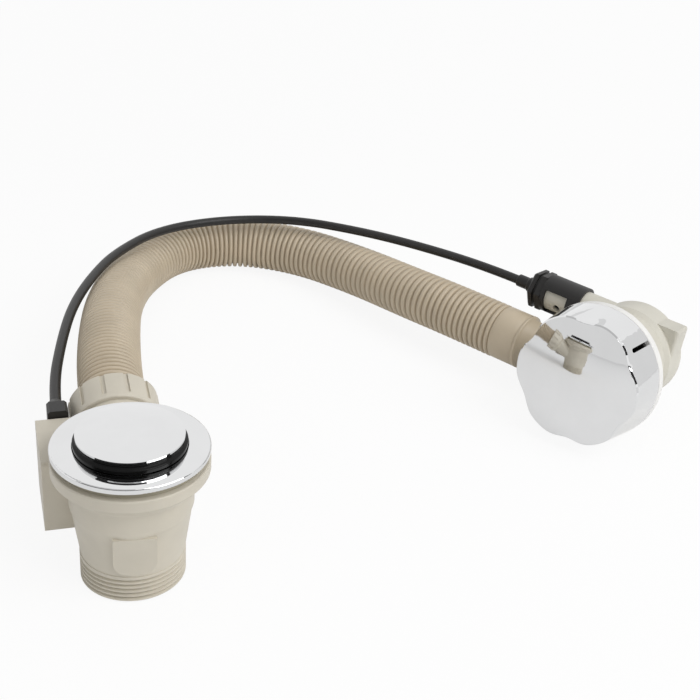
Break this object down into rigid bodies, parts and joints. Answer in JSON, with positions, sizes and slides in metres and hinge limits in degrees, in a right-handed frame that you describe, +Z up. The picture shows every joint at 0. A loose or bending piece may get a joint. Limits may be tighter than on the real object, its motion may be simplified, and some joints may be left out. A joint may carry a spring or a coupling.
{
  "type": "bath waste and overflow",
  "caption": "Cable-operated pop-up bath waste with chrome flange and plug, joined by a corrugated hose and a black cable to an overflow with a chrome turning knob.",
  "frame": {"origin": "centre of the outlet thread at its lower end, on the surface the part lies on", "axes": "+Z up along the waste axis, +Y along the hose branch away from the waste, +X towards the overflow"},
  "size_m": [0.3613, 0.3665, 0.0768],
  "materials": {
    "beige_plastic": "satin moulded",
    "hose_plastic": "satin corrugated",
    "offwhite_plastic": "satin moulded",
    "black_plastic": "satin moulded",
    "white_rubber": "matt",
    "khaki_rubber": "matt",
    "black_rubber": "semi-gloss",
    "chrome": "polished",
    "steel": "zinc plated",
    "brass": "machined",
    "white_plastic": "satin moulded"
  },
  "bodies": {
    "waste_and_overflow": {"waste_body": "beige_plastic", "waste_flange": "chrome", "bath_washer": "khaki_rubber", "plug_guide": "white_plastic", "shaft_ring": "black_rubber", "crank_cover": "beige_plastic", "cover_screws": "steel", "cable_gland": "black_plastic", "hose_nut": "beige_plastic", "hose_olive": "black_rubber", "overflow_hose": "hose_plastic", "cable_sheath": "black_plastic", "overflow_body": "offwhite_plastic", "rear_cover": "offwhite_plastic", "rear_screws": "steel", "overflow_seal": "white_rubber", "clamp_plate": "black_plastic", "clamp_nut": "black_plastic", "spindle_ring": "black_rubber", "cable_sleeve": "black_plastic", "cable_nut": "black_plastic", "cable_ferrule": "black_plastic"},
    "knob": {"knob": "chrome", "spindle": "brass", "drive_arm": "steel", "drive_screw": "steel"},
    "upper_slide": {"upper_slider": "white_plastic", "upper_wire": "steel"},
    "lower_slide": {"lower_slider": "white_plastic", "lower_wire": "steel"},
    "crank": {"lift_crank": "steel", "lift_arm": "steel", "arm_screw": "steel"},
    "plug": {"plug_cap": "chrome", "plug_seal": "black_rubber", "plug_carrier": "white_plastic", "adjusting_screw": "brass", "adjusting_nut": "brass"}
  },
  "joints": [
    {"name": "knob_turn", "type": "hinge", "parent": "waste_and_overflow", "child": "knob", "pos_m": [0.2672, 0.0749, 0.03772], "axis": [0.803, 0.5834, -0.1219], "range_deg": [0, 44.37]},
    {"name": "upper_slide", "type": "slide", "parent": "waste_and_overflow", "child": "upper_slide", "axis": [0.5829, -0.8114, -0.0433], "range_m": [0, 0.00982]},
    {"name": "lower_slide", "type": "slide", "parent": "waste_and_overflow", "child": "lower_slide", "axis": [0, 1, 0], "range_m": [0, 0.00982]},
    {"name": "crank_turn", "type": "hinge", "parent": "waste_and_overflow", "child": "crank", "pos_m": [0, 0.022, 0.03], "axis": [-1, 0, 0], "range_deg": [0, 31.66]},
    {"name": "plug_lift", "type": "slide", "parent": "waste_and_overflow", "child": "plug", "axis": [0, 0, 1], "range_m": [0, 0.012]}
  ],
  "couplings": [
    {"joint": "upper_slide", "follows": "knob_turn", "m_per_rad": 0.012677},
    {"joint": "lower_slide", "follows": "knob_turn", "m_per_rad": 0.012677},
    {"joint": "crank_turn", "follows": "knob_turn", "ratio": 0.71335},
    {"joint": "plug_lift", "follows": "knob_turn", "m_per_rad": 0.015495}
  ]
}
